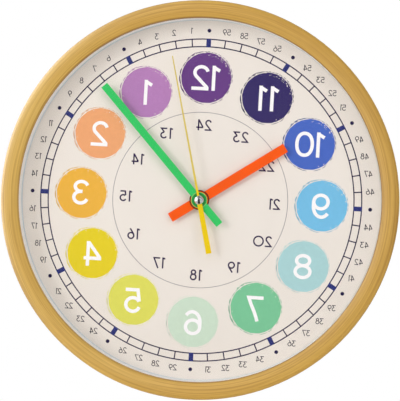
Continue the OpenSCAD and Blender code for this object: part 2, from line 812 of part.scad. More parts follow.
// The centre wheel grips the minute arbor by friction, so that the hands can be set
module centre_wheel() {
  hub_r = minute_arbor_r + 1.1;
  color("white") facing() difference() {
    union() {
      wheel(centre_teeth, centre_module, centre_a, centre_wheel_z, hub_r);
      bar([0, 0], hub_r, centre_wheel_z - 0.6, centre_wheel_z + wheel_t + 0.2);
    }
    bar([0, 0], minute_arbor_r + running_fit, centre_wheel_z - 2, centre_wheel_z + 3);
    for (a = [45, 135]) rotate([0, 0, a])
      translate([-hub_r - 1, -0.25, centre_wheel_z - 1]) cube([2 * hub_r + 2, 0.5, 1]);
  }
}

module minute_arbor() {
  color("white") facing() difference() {
    union() {
      bar([0, 0], minute_arbor_r, centre_wheel_z - 0.6, minute_z + hand_t + arbor_step);
      toothed(cannon_teeth, minute_module, minute_arbor_a, plate_top + 0.1,
        minute_wheel_z + wheel_t + 0.6);
    }
    bar([0, 0], second_arbor_r + running_fit, centre_wheel_z - 1, second_z + 1);
  }
}

module minute_wheel() {
  color("white") facing() translate([minute_at.x, minute_at.y, 0]) difference() {
    union() {
      wheel(minute_teeth, minute_module, minute_wheel_a, minute_wheel_z, 2.4);
      toothed(minute_pinion_teeth, hour_module, minute_wheel_a,
        minute_wheel_z + wheel_t - 0.4, hour_wheel_z + wheel_t + 0.3);
    }
    bar([0, 0], minute_post_r + running_fit, minute_wheel_z - 1, hour_wheel_z + wheel_t + 1);
  }
}

module hour_wheel() {
  color("white") facing() difference() {
    union() {
      wheel(hour_teeth, hour_module, hour_wheel_a, hour_wheel_z, hour_pipe_r + 1);
      bar([0, 0], hour_pipe_r + 1, hour_wheel_z + eps, case_ceiling - 0.2);
      bar([0, 0], hour_pipe_r, hour_wheel_z + eps, hour_z + hand_t + pipe_step);
    }
    bar([0, 0], minute_arbor_r + running_fit, hour_wheel_z - 1, hour_z + 5);
  }
}

module setting_knob() {
  low = cover_z - knob_gap - knob_h;
  notches = 20;
  color("white") facing() translate([knob_at.x, knob_at.y, 0]) {
    difference() {
      bar([0, 0], knob_r, low, low + knob_h);
      for (i = [0:notches - 1]) rotate([0, 0, i * 360 / notches])
        translate([knob_r, 0, low - 1]) cylinder(r = 0.45, h = knob_h + 2, $fn = 6);
      translate([0, 0, low - 1]) cylinder(r = knob_r - 1.4, h = 1.5);
    }
    bar([0, 0], knob_shaft_r, low + knob_h - eps, minute_wheel_z + 1.5);
    toothed(knob_teeth, minute_module, knob_a, minute_wheel_z - 0.1, minute_wheel_z + wheel_t + 0.4);
    bar([0, 0], peg_r, minute_wheel_z, case_ceiling - 0.8);
  }
}

// A straight stamped hand that points up the dial, with a disc round its hub
module straight_hand(tip, tail, w, hub, hole, level) {
  translate([0, 0, level]) difference() {
    union() {
      translate([-w / 2, -tail, 0]) cube([w, tail + tip, hand_t]);
      cylinder(r = hub, h = hand_t);
    }
    translate([0, 0, -1]) cylinder(r = hole + push_fit, h = hand_t + 2);
  }
}

module hour_hand() {
  color("orangered") facing() rotate([0, 0, run_sense * hour_turn])
    straight_hand(hour_len, hour_tail, hour_w, hour_hub_r, hour_pipe_r, hour_z);
}

module minute_hand() {
  color("limegreen") facing() rotate([0, 0, run_sense * minute_turn])
    straight_hand(minute_len, minute_tail, minute_w, minute_hub_r, minute_arbor_r, minute_z);
}

// The second hand is a needle in front of the axis and a blade behind it
module second_hand() {
  needle = 1.7;
  point = 0.8;
  waist = 3.6;
  blade = 4.2;
  color("gold") facing() rotate([0, 0, second_a]) difference() {
    translate([0, 0, second_z]) linear_extrude(second_t) {
      polygon([[-needle / 2, 0], [needle / 2, 0], [point / 2, second_len], [-point / 2, second_len]]);
      polygon([[-waist / 2, 0], [-blade / 2, -second_tail], [blade / 2, -second_tail], [waist / 2, 0]]);
      circle(r = bush_r + 0.9);
    }
    bar([0, 0], bush_r + push_fit, second_z - 1, second_z + 1);
  }
}

module second_hand_bush() {
  color("gold") facing()
    ring(bush_r, second_arbor_r + push_fit, second_z - 0.4, second_z + second_t + 0.6);
}

module second_hand_cap() {
  low = second_z + second_t;
  dome_r = (cap_r * cap_r + cap_h * cap_h) / (2 * cap_h);
  color("white") facing() difference() {
    translate([0, 0, low + cap_h - dome_r]) intersection() {
      sphere(r = dome_r);
      translate([0, 0, dome_r - cap_h]) cylinder(r = cap_r + 1, h = cap_h + 1);
    }
    bar([0, 0], bush_r + push_fit, low - 1, low + 0.6);
  }
}

frame();
lens();
inner_rim();
dial();
back_plate();
back_screws();
hanger();
hanger_screws();
gasket();
dial_washer();
bushing_nut();
front_case();
middle_plate();
rear_cover();
circuit_board();
clock_chip();
crystal();
coil_bobbin();
coil_winding();
coil_core();
stator();
positive_contact();
negative_contact();
battery();
rotor_magnet();
rotor_pinion();
intermediate_wheel();
second_wheel();
second_arbor();
third_wheel();
centre_wheel();
minute_arbor();
minute_wheel();
hour_wheel();
setting_knob();
hour_hand();
minute_hand();
second_hand();
second_hand_bush();
second_hand_cap();
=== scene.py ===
"""Teaching wall clock, seen from the front: a wood-look frame, a printed dial that is a
mirror image, three plain hands, and the quartz movement behind. Metres, front facing -Y."""
import math
import random

import bmesh
import bpy
from mathutils import Matrix, Vector


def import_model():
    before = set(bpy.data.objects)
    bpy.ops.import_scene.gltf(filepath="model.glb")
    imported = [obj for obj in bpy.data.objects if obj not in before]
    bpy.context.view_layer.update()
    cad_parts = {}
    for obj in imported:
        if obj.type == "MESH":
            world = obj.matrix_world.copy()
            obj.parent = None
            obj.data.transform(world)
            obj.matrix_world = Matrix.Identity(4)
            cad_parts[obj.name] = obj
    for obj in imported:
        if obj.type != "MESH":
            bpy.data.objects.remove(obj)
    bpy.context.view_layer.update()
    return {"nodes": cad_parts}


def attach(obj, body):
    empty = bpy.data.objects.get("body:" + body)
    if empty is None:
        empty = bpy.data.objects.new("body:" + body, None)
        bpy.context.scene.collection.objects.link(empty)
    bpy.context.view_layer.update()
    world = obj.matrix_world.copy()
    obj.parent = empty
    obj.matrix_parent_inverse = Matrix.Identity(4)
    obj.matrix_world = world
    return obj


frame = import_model()
scene = bpy.context.scene
MM = 0.001

# Levels, radii and angles of the CAD model, in millimetres and degrees
DIAL_Z = 23.3
LIP_R = 136.9
SECOND_HAND_TURN = 13.7


# colours and materials
def lin(r, g, b):
    """sRGB from 0 to 255 as linear colour with alpha."""
    def one(c):
        c /= 255
        return c / 12.92 if c <= 0.04045 else ((c + 0.055) / 1.055) ** 2.4
    return (one(r), one(g), one(b), 1.0)


def dimmed(colour, share):
    """A colour at a share of its brightness."""
    return tuple(c * share for c in colour[:3]) + (1,)


# which sockets of Blender's Mix node are the colour ones
MIX_SHARE, MIX_A, MIX_B, MIX_RESULT = 0, 6, 7, 2


class Mat:
    """A node material with short calls for what the pieces need."""

    def __init__(self, name):
        self.mat = bpy.data.materials.new(name)
        self.mat.use_nodes = True
        self.nodes = self.mat.node_tree.nodes
        self.links = self.mat.node_tree.links
        self.shader = self.nodes["Principled BSDF"]
        self.where = self.nodes.new("ShaderNodeTexCoord").outputs["Object"]

    def set(self, **values):
        """Constants on the shader's own sockets."""
        for key, value in values.items():
            self.shader.inputs[key.replace("_", " ")].default_value = value

    def put(self, socket, key):
        """Links a socket to one of the shader's."""
        self.links.new(socket, self.shader.inputs[key])

    def fill(self, node, values):
        """Sets or links a node's inputs, from pairs of input and value or socket."""
        for key, value in values:
            if isinstance(value, (int, float, tuple)):
                node.inputs[key].default_value = value
            else:
                self.links.new(value, node.inputs[key])
        return node.outputs

    def math(self, kind, *values):
        node = self.nodes.new("ShaderNodeMath")
        node.operation = kind
        return self.fill(node, enumerate(values))[0]

    def unit(self, socket):
        """Brings -1 to 1 onto 0 to 1, for a ramp."""
        return self.math("MULTIPLY_ADD", socket, 0.5, 0.5)

    def toward(self, x, z, angle):
        """How far a point lies towards an angle, counted in radians from the right."""
        right = self.math("MULTIPLY", x, math.cos(angle))
        return self.math("ADD", right, self.math("MULTIPLY", z, math.sin(angle)))

    def vector(self, *values):
        return self.fill(self.nodes.new("ShaderNodeCombineXYZ"), enumerate(values))[0]

    def split(self):
        """Object coordinates, as three sockets."""
        return self.fill(self.nodes.new("ShaderNodeSeparateXYZ"), ((0, self.where),))

    def noise(self, scale, detail=3, rough=0.5, at=None):
        node = self.nodes.new("ShaderNodeTexNoise")
        self.links.new(at or self.where, node.inputs["Vector"])
        return self.fill(node, (("Scale", scale), ("Detail", detail), ("Roughness", rough)))["Fac"]

    def ramp(self, socket, *stops):
        """Colours or values at places from 0 to 1."""
        node = self.nodes.new("ShaderNodeValToRGB")
        els = node.color_ramp.elements
        while len(els) < len(stops):
            els.new(0.5)
        for el, (place, value) in zip(els, stops):
            el.position = place
            el.color = value if isinstance(value, tuple) else (value, value, value, 1)
        return self.fill(node, ((0, socket),))[0]

    def mix(self, share, a, b, kind="MIX"):
        node = self.nodes.new("ShaderNodeMix")
        node.data_type = "RGBA"
        node.blend_type = kind
        return self.fill(node, ((MIX_SHARE, share), (MIX_A, a), (MIX_B, b)))[MIX_RESULT]

    def bump(self, height, strength, distance):
        node = self.nodes.new("ShaderNodeBump")
        values = (("Strength", strength), ("Distance", distance), ("Height", height))
        self.put(self.fill(node, values)[0], "Normal")


def plastic(name, colour, rough, grain=900, depth=0.00004, tint=0.06):
    """Moulded plastic: fine texture, faint cloudiness, uneven gloss."""
    m = Mat(name)
    m.put(m.ramp(m.noise(35, 4), (0.35, dimmed(colour, 1 - tint)), (0.65, colour)), "Base Color")
    m.put(m.ramp(m.noise(grain / 4, 3), (0.3, rough - 0.06), (0.7, rough + 0.06)), "Roughness")
    m.bump(m.noise(grain, 2), 0.25, depth)
    return m.mat


def metal(name, colour, rough, stretch=(1, 1, 1), scratch=0.3):
    """Metal with drawn or turned marks along one way."""
    m = Mat(name)
    m.set(Metallic=1.0)
    at = m.vector(*(m.math("MULTIPLY", v, s) for v, s in zip(m.split(), stretch)))
    marks = m.noise(700, 4, 0.6, at)
    m.put(m.ramp(marks, (0.3, dimmed(colour, 0.82)), (0.7, colour)), "Base Color")
    m.put(m.ramp(m.noise(120, 3), (0.3, rough - 0.07), (0.7, rough + 0.1)), "Roughness")
    m.bump(marks, scratch, 0.00002)
    return m.mat


def rim_plastic(name):
    """Pale satin plastic, with painted shade low on its wall where it meets the dial."""
    m = Mat(name)
    x, y, _ = m.split()
    # height over the dial, 1 at 10 mm
    above = m.math("MULTIPLY", m.math("SUBTRACT", m.math("MULTIPLY", y, -1), DIAL_Z * MM), 100)
    cloud = m.math("MULTIPLY_ADD", m.noise(60, 4), 0.03, -0.015)
    # painted shade low on the wall: blue-grey at the left, neutral above and below, and warm at the right,
    # where it is also a painted reflection of the wood
    foot_shade = m.ramp(m.math("MULTIPLY_ADD", x, 0.5 / (LIP_R * MM), 0.5),
                  (0.3, lin(199, 210, 219)), (0.5, lin(217, 224, 228)), (0.75, lin(221, 222, 218)),
                  (0.93, lin(200, 195, 181)), (1.0, lin(197, 191, 174)))
    share = m.ramp(m.math("ADD", above, cloud), (0.0, 0.0), (0.15, 0.3), (0.27, 0.85), (1.0, 1.0))
    m.put(m.mix(share, foot_shade, lin(253, 252, 251)), "Base Color")
    m.put(m.ramp(m.noise(300, 3), (0.3, 0.42), (0.7, 0.52)), "Roughness")
    m.bump(m.noise(1200, 2), 0.2, 0.00002)
    m.set(Specular_IOR_Level=0.3)
    return m.mat


def paint(name, colour, rough=0.42, needle=None):
    """Paint on a stamped hand: orange peel, faint streaks of thinner paint. Where needle gives a dull
    colour and a turn from twelve in degrees, the paint goes over to that colour along that way."""
    m = Mat(name)
    cover = m.ramp(m.noise(90, 4), (0.35, dimmed(colour, 0.93)), (0.7, colour))
    if needle:
        dull, turn = needle
        x, _, z = m.split()
        along = m.toward(x, z, math.radians(90 + turn))
        share = m.ramp(m.math("MULTIPLY", along, 10), (0.05, 0.0), (0.25, 1.0))
        cover = m.mix(share, cover, dull)
    m.put(cover, "Base Color")
    m.put(m.ramp(m.noise(260, 3), (0.3, rough - 0.05), (0.7, rough + 0.06)), "Roughness")
    m.bump(m.noise(1500, 2), 0.15, 0.00002)
    m.set(Specular_IOR_Level=0.05)
    return m.mat


def ink(name, colour, fade=0.12, grain=700):
    """Printing ink on card: slightly uneven cover, matt."""
    m = Mat(name)
    pale = tuple(c * (1 + fade) + 0.1 * fade for c in colour[:3]) + (1,)
    cover = m.noise(grain, 4, 0.65)
    m.put(m.ramp(cover, (0.34, pale), (0.56, colour)), "Base Color")
    m.put(m.ramp(cover, (0.3, 0.62), (0.7, 0.72)), "Roughness")
    m.bump(cover, 0.1, 0.00001)
    m.set(Specular_IOR_Level=0.1)
    return m.mat


def wood(name):
    """Wood with its grain running round the ring: along = arc, across = from the outer edge in. Its colour
    also carries a painted sheen and painted shade.
    """
    m = Mat(name)
    x, y, z = m.split()
    r = m.math("SQRT", m.math("ADD", m.math("MULTIPLY", x, x), m.math("MULTIPLY", z, z)))
    cx, cz = m.math("DIVIDE", x, r), m.math("DIVIDE", z, r)
    across = m.math("SUBTRACT", r, y)

    def grain(turns, lines, detail, rough):
        at = m.vector(m.math("MULTIPLY", cx, turns), m.math("MULTIPLY", cz, turns),
                      m.math("MULTIPLY", across, lines))
        return m.noise(1.0, detail, rough, at)

    broad = grain(1.3, 120, 2, 0.5)
    lines = grain(1.7, 1250, 2, 0.5)
    fine = grain(9, 2600, 3, 0.6)
    base = m.ramp(broad, (0.30, lin(205, 158, 60)), (0.5, lin(210, 165, 68)), (0.72, lin(218, 174, 80)))
    stripe = m.ramp(lines, (0.34, (0.72, 0.64, 0.50, 1)), (0.46, (0.94, 0.91, 0.86, 1)),
                    (0.56, (1.0, 1.0, 1.0, 1)), (0.70, (1.10, 1.11, 1.14, 1)))
    fibre = m.ramp(fine, (0.34, (0.86, 0.83, 0.78, 1)), (0.5, (1, 1, 1, 1)))
    colour = m.mix(0.75, base, stripe, "MULTIPLY")
    colour = m.mix(0.6, colour, fibre, "MULTIPLY")
    # painted sheen and shade: paler, greyer and bluer at the left as a painted sheen, darker and warmer at
    # the right as painted shade
    side = m.math("MULTIPLY_ADD", cx, 0.985, m.math("MULTIPLY", cz, 0.17))
    board = m.ramp(m.unit(side), (0.05, (1.04, 1.11, 1.42, 1)), (0.45, (1.0, 1.0, 1.07, 1)),
                   (0.7, (0.98, 0.98, 0.96, 1)), (0.95, (0.90, 0.88, 0.81, 1)))
    colour = m.mix(1.0, colour, board, "MULTIPLY")
    # painted shade: darker in the last millimetre to the ring's inner edge, most of all along its upper
    # left and at the right
    lip_shade = m.ramp(m.math("MULTIPLY", m.math("SUBTRACT", r, LIP_R * MM), 1000),
                 (0.0, (0.50, 0.42, 0.32, 1)), (0.55, (0.78, 0.72, 0.62, 1)), (1.0, (1, 1, 1, 1)))
    upper = m.math("MULTIPLY_ADD", cx, -0.26, m.math("MULTIPLY", cz, 0.966))
    above = m.ramp(m.unit(upper), (0.1, 0.0), (0.4, 0.1), (0.63, 0.4), (0.86, 0.5), (1.0, 0.9))
    right = m.ramp(m.unit(cx), (0.0, 0.05), (0.25, 0.3), (0.5, 0.5), (0.75, 0.7), (1.0, 0.9))
    m.put(m.mix(m.math("MAXIMUM", above, right), colour, lip_shade, "MULTIPLY"), "Base Color")
    m.put(m.ramp(lines, (0.3, 0.66), (0.7, 0.54)), "Roughness")
    relief = m.math("ADD", m.math("MULTIPLY", lines, 0.7), m.math("MULTIPLY", fine, 0.5))
    m.bump(relief, 0.3, 0.0001)
    m.set(Specular_IOR_Level=0.6)
    return m.mat


def card(name, colour):
    """Coated card of the dial, with paper fibres too fine to feel."""
    m = Mat(name)
    low = dimmed(colour, 0.975)
    cloud = m.ramp(m.noise(30, 3), (0.35, low), (0.65, colour))
    fibres = m.ramp(m.noise(1800, 3), (0.35, low), (0.65, colour))
    m.put(m.mix(0.35, cloud, fibres), "Base Color")
    m.put(m.ramp(m.noise(500, 3), (0.3, 0.55), (0.7, 0.66)), "Roughness")
    m.bump(m.noise(2200, 3), 0.12, 0.00002)
    m.set(Specular_IOR_Level=0.3)
    return m.mat


def glass(name):
    """Clear flat glass: almost nothing but its gloss and a few faint smears."""
    m = Mat(name)
    m.set(Roughness=0.03, IOR=1.5)
    smear = m.ramp(m.noise(14, 3), (0.3, (0.30, 0.34, 0.34, 1)), (0.7, (0.4, 0.42, 0.42, 1)))
    m.put(smear, "Base Color")
    m.put(m.ramp(m.noise(30, 4), (0.4, 0.010), (0.75, 0.018)), "Alpha")
    return m.mat


# mesh helpers

# the step between the fronts of crossing shapes, in mm
HAIR = 0.004
CIRCLE_STEPS = 360


def world(x, y, z):
    """A point of the dial's layout (right, up, forward from the wall, in mm) in metres."""
    return (x * MM, -z * MM, y * MM)


def area(points):
    """The area inside an outline, below zero where it runs clockwise."""
    return 0.5 * sum(a[0] * b[1] - b[0] * a[1] for a, b in zip(points, points[1:] + points[:1]))


class Layer:
    """Thin printed shapes on the dial, gathered into one closed mesh piece."""

    def __init__(self, low, front):
        self.low, self.front = low, front
        self.count = 0
        self.bm = bmesh.new()

    @property
    def high(self):
        """The front level, a hair apart from shape to shape: crossing strokes never share one."""
        return self.front + HAIR * (self.count % 4)

    def _loop(self, points, z):
        return [self.bm.verts.new(world(x, y, z)) for x, y in points]

    def shape(self, points):
        """A filled outline."""
        if area(points) < 0:
            points = points[::-1]
        self.count += 1
        top, low = self._loop(points, self.high), self._loop(points, self.low)
        self.bm.faces.new(top)
        self.bm.faces.new(low[::-1])
        for i in range(len(points)):
            j = (i + 1) % len(points)
            self.bm.faces.new((top[j], top[i], low[i], low[j]))

    def band(self, outer, inner):
        """A closed band between two outlines of as many points."""
        if area(outer) < 0:
            outer, inner = outer[::-1], inner[::-1]
        self.count += 1
        ot, it = self._loop(outer, self.high), self._loop(inner, self.high)
        ol, il = self._loop(outer, self.low), self._loop(inner, self.low)
        for i in range(len(outer)):
            j = (i + 1) % len(outer)
            self.bm.faces.new((ot[i], ot[j], it[j], it[i]))
            self.bm.faces.new((il[i], il[j], ol[j], ol[i]))
            self.bm.faces.new((ot[j], ot[i], ol[i], ol[j]))
            self.bm.faces.new((it[i], it[j], il[j], il[i]))

    def circle(self, r, width):
        self.band(ring(r + width / 2, CIRCLE_STEPS), ring(r - width / 2, CIRCLE_STEPS))

    def stroke(self, path, half, closed=False):
        """A line of even width along a path."""
        left, right = offset(path, half, closed)
        if closed:
            self.band(left, right)
        else:
            self.shape(left + right[::-1])

    def finish(self, name, material, body="case"):
        """Makes the piece."""
        mesh = bpy.data.meshes.new(name)
        bmesh.ops.recalc_face_normals(self.bm, faces=self.bm.faces)
        self.bm.to_mesh(mesh)
        self.bm.free()
        piece(name, mesh, material, body)


def place_mesh(name, mesh, material):
    """A new object in the scene."""
    obj = bpy.data.objects.new(name, mesh)
    scene.collection.objects.link(obj)
    mesh.materials.append(material)
    return obj


def piece(name, mesh, material, body):
    """A piece of the clock that rides on a body and takes its finish from a slot."""
    obj = place_mesh(name, mesh, material)
    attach(obj, body)


def around(at, r, angle):
    """The point at a distance from another, at an angle in radians."""
    return (at[0] + r * math.cos(angle), at[1] + r * math.sin(angle))


def ring(r, steps, at=(0, 0)):
    return [around(at, r, 2 * math.pi * i / steps) for i in range(steps)]


SHARPEST_MITRE = 0.45


def offset(path, half, closed):
    """The two sides of a line, with mitred corners that are cut short where they are sharp."""
    n = len(path)
    left, right = [], []
    for i, p in enumerate(path):
        before = path[i - 1] if closed or i > 0 else None
        after = path[(i + 1) % n] if closed or i < n - 1 else None
        ways = []
        for a, b in ((before, p), (p, after)):
            if a is not None and b is not None:
                d = math.hypot(b[0] - a[0], b[1] - a[1])
                ways.append(((b[0] - a[0]) / d, (b[1] - a[1]) / d))
        nx = -sum(w[1] for w in ways)
        ny = sum(w[0] for w in ways)
        d = math.hypot(nx, ny)
        nx, ny = nx / d, ny / d
        reach = half / max(SHARPEST_MITRE, nx * -ways[0][1] + ny * ways[0][0])
        left.append((p[0] + nx * reach, p[1] + ny * reach))
        right.append((p[0] - nx * reach, p[1] - ny * reach))
    return left, right


def arc(cx, cy, rx, ry, a, b, steps=14):
    """Points on an ellipse from angle a to angle b, in degrees."""
    return [(cx + rx * math.cos(math.radians(a + (b - a) * i / steps)),
             cy + ry * math.sin(math.radians(a + (b - a) * i / steps))) for i in range(steps + 1)]


def oval(cx, cy, rx, ry, square=2.0, steps=40):
    """An ellipse, or a squarer outline where square is over 2."""
    points = []
    for i in range(steps):
        t = 2 * math.pi * i / steps
        c, s = math.cos(t), math.sin(t)
        points.append((cx + rx * math.copysign(abs(c) ** (2 / square), c),
                       cy + ry * math.copysign(abs(s) ** (2 / square), s)))
    return points


# numerals
def turned(strokes, w):
    """A numeral turned by half a turn in its box."""
    return [([(w - x, 1 - y) for x, y in path], closed) for path, closed in strokes]


def bold_digit(ch, s):
    """Width and centre lines of a numeral on the discs, 1 high; s is half the stroke."""
    t = 1 - s
    waist = 0.535
    high, tall = (t + waist) / 2, (t - waist) / 2
    low, deep = (waist + s) / 2, (waist - s) / 2
    stem = 0.355 - s
    six = [(oval(0.35, 0.335, 0.35 - s, 0.335 - s), True),
           ([(s, 0.335)] + arc(0.385, 0.52, 0.385 - s, 0.48 - s, 180, 39), False)]
    return {
        "0": (0.74, [(oval(0.37, 0.5, 0.37 - s, 0.5 - s, 2.2), True)]),
        "1": (0.355, [([(0.05, 0.79), (stem, 0.925)], False), ([(stem, 0), (stem, 0.995)], False)]),
        "2": (0.70, [(arc(0.33, 0.70, 0.33 - s, 0.30 - s, 168, -38) + [(0.075, 0.105)], False),
                     ([(0.02, s), (0.70, s)], False)]),
        "3": (0.68, [(arc(0.325, high, 0.32 - s, tall, 166, -90) + [(0.27, waist)], False),
                     ([(0.27, waist)] + arc(0.34, low, 0.34 - s, deep, 90, -164), False)]),
        "4": (0.715, [([(0.553, 0), (0.553, 0.985)], False), ([(0.542, 0.95), (0.065, 0.335)], False),
                      ([(0.01, 0.31), (0.715, 0.31)], False)]),
        "5": (0.68, [([(0.645, t), (0.15, t), (0.082, 0.475)], False),
                     (arc(0.33, 0.342, 0.35 - s, 0.342 - s, 151, -160), False)]),
        "6": (0.70, six),
        "7": (0.69, [([(0.01, t), (0.595, t), (0.495, 0.67), (0.37, 0.41), (0.275, 0.17), (0.225, 0)],
                      False)]),
        "8": (0.72, [(oval(0.36, high, 0.325 - s, tall), True), (oval(0.36, low, 0.36 - s, deep), True)]),
        "9": (0.70, turned(six, 0.70)),
    }[ch]


def light_digit(ch, s):
    """Width and centre lines of a small numeral, 1 high."""
    t = 1 - s
    waist = 0.56
    high, tall = (waist + t) / 2, (t - waist) / 2
    low, deep = (waist + s) / 2, (waist - s) / 2
    stem = 0.215 - s
    six = [(oval(0.33, 0.33, 0.33 - s, 0.33 - s), True), ([(0.43, 0.99), (0.085, 0.47)], False)]
    return {
        "0": (0.98, [(oval(0.49, 0.5, 0.49 - s, 0.5 - s), True)]),
        "1": (0.30, [([(-0.055, 0.86), (stem - 0.02, 0.955)], False), ([(stem, 1), (stem, 0)], False)]),
        "2": (0.64, [(arc(0.315, 0.70, 0.30 - s, 0.30 - s, 165, -42) + [(1.3 * s, s), (0.64, s)], False)]),
        "3": (0.66, [([(0.05, t), (0.57, t), (0.30, 0.60)], False),
                     (arc(0.33, 0.32, 0.33 - s, 0.32 - s, 98, -152), False)]),
        "4": (0.68, [([(0.46, 0), (0.46, 1)], False), ([(0.45, 0.97), (0.06, 0.30)], False),
                     ([(0.03, 0.28), (0.66, 0.28)], False)]),
        "5": (0.66, [([(0.60, t), (0.15, t), (0.11, 0.56)], False),
                     (arc(0.32, 0.33, 0.34 - s, 0.33 - s, 132, -152), False)]),
        "6": (0.66, six),
        "7": (0.61, [([(0, t), (0.56, t), (0.17, 0)], False)]),
        "8": (0.62, [(oval(0.31, high, 0.255 - s, tall), True), (oval(0.31, low, 0.31 - s, deep), True)]),
        "9": (0.66, turned(six, 0.66)),
    }[ch]


# how far a number moves along its line, as a share of its height
BOLD_ONE_SHIFT = -0.07
LIGHT_21_SHIFT = 0.035


def number(layer, text, digit, at, height, stroke, gap):
    """A number centred at a place on the dial, as a mirror image."""
    s = stroke / height / 2
    parts = [digit(ch, s) for ch in text]
    total = sum(w for w, _ in parts) + gap * (len(parts) - 1)
    x = -total / 2
    if digit is bold_digit and text[-1] == "1":
        x += BOLD_ONE_SHIFT
    if digit is light_digit and text == "21":
        x += LIGHT_21_SHIFT
    for w, strokes in parts:
        for path, closed in strokes:
            points = [(at[0] - (x + px) * height, at[1] + (py - 0.5) * height) for px, py in path]
            layer.stroke(points, stroke / 2, closed)
        x += w + gap


def on_dial(share, r):
    """A place at a share of a turn from twelve; the mirrored dial counts anticlockwise."""
    return around((0, 0), r, math.radians(90 + 360 * share))


# materials of the CAD nodes, by node
WOOD = wood("frame_wood")
CARD_RGB = (241, 233, 225)
CARD = card("dial_card", lin(*CARD_RGB))
WHITE = ink("numeral_white", lin(255, 253, 255), 0.0)
VIOLET = ink("line_violet", lin(32, 12, 64))
BLUE = ink("block_blue", lin(44, 50, 118))
STEEL = metal("screw_steel", lin(190, 192, 196), 0.28)
WHEEL = plastic("gear_plastic", lin(236, 234, 226), 0.4)
BLACK_CASE = plastic("case_plastic", lin(44, 45, 48), 0.5, 700, 0.00008, 0.2)

FINISH = {
    "frame": WOOD,
    "lens": glass("lens_glass"),
    "inner_rim": rim_plastic("rim_plastic"),
    "dial": CARD,
    "back_plate": plastic("back_plastic", lin(232, 230, 224), 0.5, 600, 0.00008),
    "back_screws": STEEL,
    "hanger_screws": STEEL,
    "hanger": metal("hanger_steel", lin(176, 179, 184), 0.36, (0.08, 1, 1)),
    "gasket": plastic("gasket_rubber", lin(36, 36, 38), 0.75, 1500, 0.0001, 0.2),
    "dial_washer": metal("washer_brass", lin(196, 160, 92), 0.32),
    "bushing_nut": metal("nut_brass", lin(203, 168, 96), 0.26),
    "front_case": BLACK_CASE,
    "rear_cover": BLACK_CASE,
    "middle_plate": WHEEL,
    "circuit_board": plastic("board", lin(34, 88, 56), 0.45, 500, 0.00006, 0.3),
    "clock_chip": plastic("chip_resin", lin(20, 20, 22), 0.35, 800, 0.00003, 0.2),
    "crystal": metal("crystal_can", lin(200, 202, 205), 0.22),
    "coil_bobbin": WHEEL,
    "coil_winding": metal("copper_wire", lin(176, 92, 50), 0.3, (6, 1, 1), 0.8),
    "coil_core": metal("core_iron", lin(120, 124, 130), 0.42),
    "stator": metal("stator_iron", lin(126, 130, 136), 0.42),
    "positive_contact": metal("contact_metal", lin(205, 200, 178), 0.25),
    "negative_contact": metal("contact_spring", lin(202, 198, 180), 0.25),
    "battery": plastic("battery_sleeve", lin(64, 104, 132), 0.3, 900, 0.00002, 0.1),
    "rotor_magnet": plastic("magnet", lin(52, 52, 56), 0.45, 900, 0.00005, 0.2),
    "rotor_pinion": WHEEL,
    "intermediate_wheel": WHEEL,
    "second_wheel": WHEEL,
    "third_wheel": WHEEL,
    "centre_wheel": WHEEL,
    "minute_wheel": WHEEL,
    "minute_arbor": WHEEL,
    "hour_wheel": WHEEL,
    "second_arbor": metal("arbor_steel", lin(196, 198, 202), 0.2),
    "setting_knob": plastic("knob_plastic", lin(226, 224, 216), 0.42),
    "hour_hand": paint("orange_paint", lin(255, 91, 0)),
    "minute_hand": paint("green_paint", lin(56, 205, 105)),
    "second_hand": paint("yellow_paint", lin(243, 208, 8),
                         needle=(lin(221, 199, 98), SECOND_HAND_TURN)),
    "second_hand_bush": metal("bush_brass", lin(205, 172, 84), 0.3),
    "second_hand_cap": metal("cap_chrome", lin(225, 226, 230), 0.05, (1, 1, 1), 0.02),
}
for node_name, material in FINISH.items():
    obj = frame["nodes"][node_name]
    if not obj.material_slots:
        obj.data.materials.append(material)
    for entry in obj.material_slots:
        entry.material = material


# print on the dial
SHEET = 0.03
LEVEL_1, LEVEL_2, LEVEL_3 = DIAL_Z, DIAL_Z + SHEET, DIAL_Z + 2 * SHEET
TRACK_OUT, TRACK_IN, LINE = 122.7, 116.9, 0.88
BLOCK_HALF = 1.75
INNER_CIRCLE_R, INNER_CIRCLE_LINE = 66.9, 0.36
DOT_R, DOT_STEPS = 1.45, 28
MINUTES_AT, INNER_AT = 129.2, 57.2
# height and stroke of the numbers, and the gap between two digits as a share of the height
MINUTE_NUMBERS = (4.6, 0.55, 0.05)
INNER_NUMBERS = (8.4, 1.12, 0.11)
HOUR_NUMERALS = (19.2, 2.6, 0.10)

track = Layer(LEVEL_1, LEVEL_2)
track.circle(TRACK_OUT, LINE)
track.circle(TRACK_IN, LINE)
for minute in range(60):
    if minute % 5:
        track.stroke([on_dial(minute / 60, TRACK_IN), on_dial(minute / 60, TRACK_OUT)], LINE / 2)
track.finish("track_lines", VIOLET)

blocks = Layer(LEVEL_1, LEVEL_3)
for hour in range(12):
    ends = [on_dial(hour / 12, TRACK_IN - LINE / 2), on_dial(hour / 12, TRACK_OUT + LINE / 2)]
    blocks.stroke(ends, BLOCK_HALF)
blocks.finish("track_blocks", BLUE)

thin = Layer(LEVEL_1, LEVEL_2)
thin.circle(INNER_CIRCLE_R, INNER_CIRCLE_LINE)
thin.finish("inner_circle", ink("circle_mauve", lin(120, 108, 120)))

dots = Layer(LEVEL_1, LEVEL_2)
for hour in range(12):
    dots.shape(ring(DOT_R, DOT_STEPS, on_dial(hour / 12, MINUTES_AT)))
dots.finish("minute_dots", ink("dot_navy", lin(36, 26, 70)))

small = Layer(LEVEL_1, LEVEL_2)
for minute in range(60):
    if minute % 5:
        number(small, str(minute), light_digit, on_dial(minute / 60, MINUTES_AT), *MINUTE_NUMBERS)
small.finish("minute_numbers", ink("minute_grey", lin(40, 30, 50)))

inner = Layer(LEVEL_1, LEVEL_2)
for hour in range(12):
    text = str(hour + 12 if hour else 24)
    number(inner, text, light_digit, on_dial(hour / 12, INNER_AT), *INNER_NUMBERS)
inner.finish("inner_numbers", ink("inner_navy", lin(44, 22, 68)))

